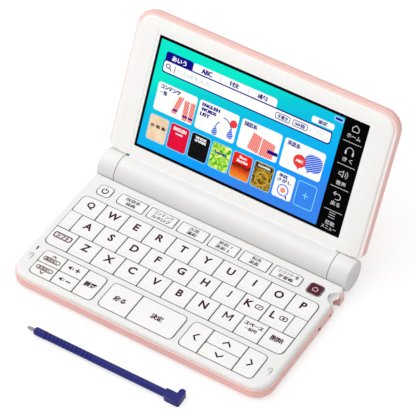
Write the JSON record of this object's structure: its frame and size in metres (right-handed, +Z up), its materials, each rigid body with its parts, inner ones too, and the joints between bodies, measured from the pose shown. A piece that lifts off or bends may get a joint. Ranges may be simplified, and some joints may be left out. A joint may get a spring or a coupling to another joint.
{
  "type": "electronic dictionary",
  "caption": "Clamshell pocket electronic dictionary with a full keyboard, a wide touch screen in the hinged lid, a battery barrel along the hinge and a loose stylus.",
  "frame": {"origin": "middle of the whole object's box at the table, stylus included", "axes": "+X to the user's right along the hinge, +Y from the user towards the lid, +Z up"},
  "size_m": [0.1512, 0.1534, 0.089],
  "materials": {
    "case_pink": "satin paint, soft highlight on the edges",
    "case_white": "satin",
    "key_white": "satin, printed legends",
    "key_maroon": "satin",
    "board_green": "coated circuit board",
    "cell_metal": "printed metal sleeve",
    "screen_black": "polished, with the picture behind it",
    "stylus_blue": "satin"
  },
  "bodies": {
    "base": {"lower_case": "case_pink", "upper_case": "case_white", "key_board": "board_green", "hinge_cap_left": "case_white", "hinge_cap_right": "case_white"},
    "lid": {"lid_frame": "case_white", "lid_cover": "case_pink", "display_module": "screen_black", "battery_cells": "cell_metal"},
    "battery_cover": {"battery_cover": "case_white"},
    "port_cover": {"port_cover": "case_pink"},
    "stylus": {"stylus": "stylus_blue"},
    "key_power": {"key_power": "key_white"},
    "key_menu_1": {"key_menu_1": "key_white"},
    "key_menu_2": {"key_menu_2": "key_white"},
    "key_menu_3": {"key_menu_3": "key_white"},
    "key_menu_4": {"key_menu_4": "key_white"},
    "key_menu_5": {"key_menu_5": "key_white"},
    "key_menu_6": {"key_menu_6": "key_white"},
    "key_home": {"key_home": "key_maroon"},
    "key_q": {"key_q": "key_white"},
    "key_w": {"key_w": "key_white"},
    "key_e": {"key_e": "key_white"},
    "key_r": {"key_r": "key_white"},
    "key_t": {"key_t": "key_white"},
    "key_y": {"key_y": "key_white"},
    "key_u": {"key_u": "key_white"},
    "key_i": {"key_i": "key_white"},
    "key_o": {"key_o": "key_white"},
    "key_p": {"key_p": "key_white"},
    "key_a": {"key_a": "key_white"},
    "key_s": {"key_s": "key_white"},
    "key_d": {"key_d": "key_white"},
    "key_f": {"key_f": "key_white"},
    "key_g": {"key_g": "key_white"},
    "key_h": {"key_h": "key_white"},
    "key_j": {"key_j": "key_white"},
    "key_k": {"key_k": "key_white"},
    "key_l": {"key_l": "key_white"},
    "key_shift": {"key_shift": "key_white"},
    "key_z": {"key_z": "key_white"},
    "key_x": {"key_x": "key_white"},
    "key_c": {"key_c": "key_white"},
    "key_v": {"key_v": "key_white"},
    "key_b": {"key_b": "key_white"},
    "key_n": {"key_n": "key_white"},
    "key_m": {"key_m": "key_white"},
    "key_space": {"key_space": "key_white"},
    "key_delete": {"key_delete": "key_white"},
    "key_page_up": {"key_page_up": "key_white"},
    "key_page_down": {"key_page_down": "key_white"},
    "key_volume_up": {"key_volume_up": "key_white"},
    "key_volume_down": {"key_volume_down": "key_white"},
    "key_history": {"key_history": "key_white"},
    "key_back": {"key_back": "key_white"},
    "key_enter": {"key_enter": "key_white"},
    "key_left": {"key_left": "key_white"},
    "key_up": {"key_up": "key_white"},
    "key_down": {"key_down": "key_white"},
    "key_right": {"key_right": "key_white"}
  },
  "joints": [
    {"name": "lid_hinge", "type": "hinge", "parent": "base", "child": "lid", "pos_m": [0, 0.03309, 0.0099], "axis": [-1, 0, 0], "range_deg": [-115.2, 34.8]},
    {"name": "battery_cover_pull", "type": "slide", "parent": "lid", "child": "battery_cover", "axis": [0, 0.599, -0.8007], "range_m": [0, 0.006]},
    {"name": "port_cover_hinge", "type": "hinge", "parent": "base", "child": "port_cover", "pos_m": [0.075, -0.00761, 0.0042], "axis": [0, 0, -1], "range_deg": [0, 95]},
    {"name": "stylus_lift", "type": "slide", "parent": "base", "child": "stylus", "axis": [0, 0, 1], "range_m": [0, 0.05]},
    {"name": "key_enter_press", "type": "slide", "parent": "base", "child": "key_enter", "axis": [0, 0, -1], "range_m": [0, 0.00075], "stiffness_N_per_m": 200, "springref_m": -0.002},
    {"name": "key_home_press", "type": "slide", "parent": "base", "child": "key_home", "axis": [0, 0, -1], "range_m": [0, 0.00075], "stiffness_N_per_m": 200, "springref_m": -0.002},
    {"name": "key_power_press", "type": "slide", "parent": "base", "child": "key_power", "axis": [0, 0, -1], "range_m": [0, 0.00075], "stiffness_N_per_m": 200, "springref_m": -0.002},
    {"name": "key_space_press", "type": "slide", "parent": "base", "child": "key_space", "axis": [0, 0, -1], "range_m": [0, 0.00075], "stiffness_N_per_m": 200, "springref_m": -0.002},
    {"name": "key_shift_press", "type": "slide", "parent": "base", "child": "key_shift", "axis": [0, 0, -1], "range_m": [0, 0.00075], "stiffness_N_per_m": 200, "springref_m": -0.002},
    {"name": "key_delete_press", "type": "slide", "parent": "base", "child": "key_delete", "axis": [0, 0, -1], "range_m": [0, 0.00075], "stiffness_N_per_m": 200, "springref_m": -0.002},
    {"name": "key_back_press", "type": "slide", "parent": "base", "child": "key_back", "axis": [0, 0, -1], "range_m": [0, 0.00075], "stiffness_N_per_m": 200, "springref_m": -0.002},
    {"name": "key_up_press", "type": "slide", "parent": "base", "child": "key_up", "axis": [0, 0, -1], "range_m": [0, 0.00075], "stiffness_N_per_m": 200, "springref_m": -0.002},
    {"name": "key_down_press", "type": "slide", "parent": "base", "child": "key_down", "axis": [0, 0, -1], "range_m": [0, 0.00075], "stiffness_N_per_m": 200, "springref_m": -0.002},
    {"name": "key_left_press", "type": "slide", "parent": "base", "child": "key_left", "axis": [0, 0, -1], "range_m": [0, 0.00075], "stiffness_N_per_m": 200, "springref_m": -0.002},
    {"name": "key_right_press", "type": "slide", "parent": "base", "child": "key_right", "axis": [0, 0, -1], "range_m": [0, 0.00075], "stiffness_N_per_m": 200, "springref_m": -0.002},
    {"name": "key_page_up_press", "type": "slide", "parent": "base", "child": "key_page_up", "axis": [0, 0, -1], "range_m": [0, 0.00075], "stiffness_N_per_m": 200, "springref_m": -0.002},
    {"name": "key_page_down_press", "type": "slide", "parent": "base", "child": "key_page_down", "axis": [0, 0, -1], "range_m": [0, 0.00075], "stiffness_N_per_m": 200, "springref_m": -0.002},
    {"name": "key_volume_up_press", "type": "slide", "parent": "base", "child": "key_volume_up", "axis": [0, 0, -1], "range_m": [0, 0.00075], "stiffness_N_per_m": 200, "springref_m": -0.002},
    {"name": "key_volume_down_press", "type": "slide", "parent": "base", "child": "key_volume_down", "axis": [0, 0, -1], "range_m": [0, 0.00075], "stiffness_N_per_m": 200, "springref_m": -0.002},
    {"name": "key_history_press", "type": "slide", "parent": "base", "child": "key_history", "axis": [0, 0, -1], "range_m": [0, 0.00075], "stiffness_N_per_m": 200, "springref_m": -0.002},
    {"name": "key_menu_1_press", "type": "slide", "parent": "base", "child": "key_menu_1", "axis": [0, 0, -1], "range_m": [0, 0.00075], "stiffness_N_per_m": 200, "springref_m": -0.002},
    {"name": "key_menu_2_press", "type": "slide", "parent": "base", "child": "key_menu_2", "axis": [0, 0, -1], "range_m": [0, 0.00075], "stiffness_N_per_m": 200, "springref_m": -0.002},
    {"name": "key_menu_3_press", "type": "slide", "parent": "base", "child": "key_menu_3", "axis": [0, 0, -1], "range_m": [0, 0.00075], "stiffness_N_per_m": 200, "springref_m": -0.002},
    {"name": "key_menu_4_press", "type": "slide", "parent": "base", "child": "key_menu_4", "axis": [0, 0, -1], "range_m": [0, 0.00075], "stiffness_N_per_m": 200, "springref_m": -0.002},
    {"name": "key_menu_5_press", "type": "slide", "parent": "base", "child": "key_menu_5", "axis": [0, 0, -1], "range_m": [0, 0.00075], "stiffness_N_per_m": 200, "springref_m": -0.002},
    {"name": "key_menu_6_press", "type": "slide", "parent": "base", "child": "key_menu_6", "axis": [0, 0, -1], "range_m": [0, 0.00075], "stiffness_N_per_m": 200, "springref_m": -0.002},
    {"name": "key_q_press", "type": "slide", "parent": "base", "child": "key_q", "axis": [0, 0, -1], "range_m": [0, 0.00075], "stiffness_N_per_m": 200, "springref_m": -0.002},
    {"name": "key_g_press", "type": "slide", "parent": "base", "child": "key_g", "axis": [0, 0, -1], "range_m": [0, 0.00075], "stiffness_N_per_m": 200, "springref_m": -0.002},
    {"name": "key_p_press", "type": "slide", "parent": "base", "child": "key_p", "axis": [0, 0, -1], "range_m": [0, 0.00075], "stiffness_N_per_m": 200, "springref_m": -0.002},
    {"name": "key_z_press", "type": "slide", "parent": "base", "child": "key_z", "axis": [0, 0, -1], "range_m": [0, 0.00075], "stiffness_N_per_m": 200, "springref_m": -0.002},
    {"name": "key_a_press", "type": "slide", "parent": "base", "child": "key_a", "axis": [0, 0, -1], "range_m": [0, 0.00075], "stiffness_N_per_m": 200, "springref_m": -0.002},
    {"name": "key_l_press", "type": "slide", "parent": "base", "child": "key_l", "axis": [0, 0, -1], "range_m": [0, 0.00075], "stiffness_N_per_m": 200, "springref_m": -0.002},
    {"name": "key_m_press", "type": "slide", "parent": "base", "child": "key_m", "axis": [0, 0, -1], "range_m": [0, 0.00075], "stiffness_N_per_m": 200, "springref_m": -0.002},
    {"name": "key_w_press", "type": "slide", "parent": "base", "child": "key_w", "axis": [0, 0, -1], "range_m": [0, 0.00075], "stiffness_N_per_m": 200, "springref_m": -0.002},
    {"name": "key_e_press", "type": "slide", "parent": "base", "child": "key_e", "axis": [0, 0, -1], "range_m": [0, 0.00075], "stiffness_N_per_m": 200, "springref_m": -0.002},
    {"name": "key_r_press", "type": "slide", "parent": "base", "child": "key_r", "axis": [0, 0, -1], "range_m": [0, 0.00075], "stiffness_N_per_m": 200, "springref_m": -0.002},
    {"name": "key_t_press", "type": "slide", "parent": "base", "child": "key_t", "axis": [0, 0, -1], "range_m": [0, 0.00075], "stiffness_N_per_m": 200, "springref_m": -0.002},
    {"name": "key_y_press", "type": "slide", "parent": "base", "child": "key_y", "axis": [0, 0, -1], "range_m": [0, 0.00075], "stiffness_N_per_m": 200, "springref_m": -0.002},
    {"name": "key_u_press", "type": "slide", "parent": "base", "child": "key_u", "axis": [0, 0, -1], "range_m": [0, 0.00075], "stiffness_N_per_m": 200, "springref_m": -0.002},
    {"name": "key_i_press", "type": "slide", "parent": "base", "child": "key_i", "axis": [0, 0, -1], "range_m": [0, 0.00075], "stiffness_N_per_m": 200, "springref_m": -0.002},
    {"name": "key_o_press", "type": "slide", "parent": "base", "child": "key_o", "axis": [0, 0, -1], "range_m": [0, 0.00075], "stiffness_N_per_m": 200, "springref_m": -0.002},
    {"name": "key_s_press", "type": "slide", "parent": "base", "child": "key_s", "axis": [0, 0, -1], "range_m": [0, 0.00075], "stiffness_N_per_m": 200, "springref_m": -0.002},
    {"name": "key_d_press", "type": "slide", "parent": "base", "child": "key_d", "axis": [0, 0, -1], "range_m": [0, 0.00075], "stiffness_N_per_m": 200, "springref_m": -0.002},
    {"name": "key_f_press", "type": "slide", "parent": "base", "child": "key_f", "axis": [0, 0, -1], "range_m": [0, 0.00075], "stiffness_N_per_m": 200, "springref_m": -0.002},
    {"name": "key_h_press", "type": "slide", "parent": "base", "child": "key_h", "axis": [0, 0, -1], "range_m": [0, 0.00075], "stiffness_N_per_m": 200, "springref_m": -0.002},
    {"name": "key_j_press", "type": "slide", "parent": "base", "child": "key_j", "axis": [0, 0, -1], "range_m": [0, 0.00075], "stiffness_N_per_m": 200, "springref_m": -0.002},
    {"name": "key_k_press", "type": "slide", "parent": "base", "child": "key_k", "axis": [0, 0, -1], "range_m": [0, 0.00075], "stiffness_N_per_m": 200, "springref_m": -0.002},
    {"name": "key_x_press", "type": "slide", "parent": "base", "child": "key_x", "axis": [0, 0, -1], "range_m": [0, 0.00075], "stiffness_N_per_m": 200, "springref_m": -0.002},
    {"name": "key_c_press", "type": "slide", "parent": "base", "child": "key_c", "axis": [0, 0, -1], "range_m": [0, 0.00075], "stiffness_N_per_m": 200, "springref_m": -0.002},
    {"name": "key_v_press", "type": "slide", "parent": "base", "child": "key_v", "axis": [0, 0, -1], "range_m": [0, 0.00075], "stiffness_N_per_m": 200, "springref_m": -0.002},
    {"name": "key_b_press", "type": "slide", "parent": "base", "child": "key_b", "axis": [0, 0, -1], "range_m": [0, 0.00075], "stiffness_N_per_m": 200, "springref_m": -0.002},
    {"name": "key_n_press", "type": "slide", "parent": "base", "child": "key_n", "axis": [0, 0, -1], "range_m": [0, 0.00075], "stiffness_N_per_m": 200, "springref_m": -0.002}
  ]
}
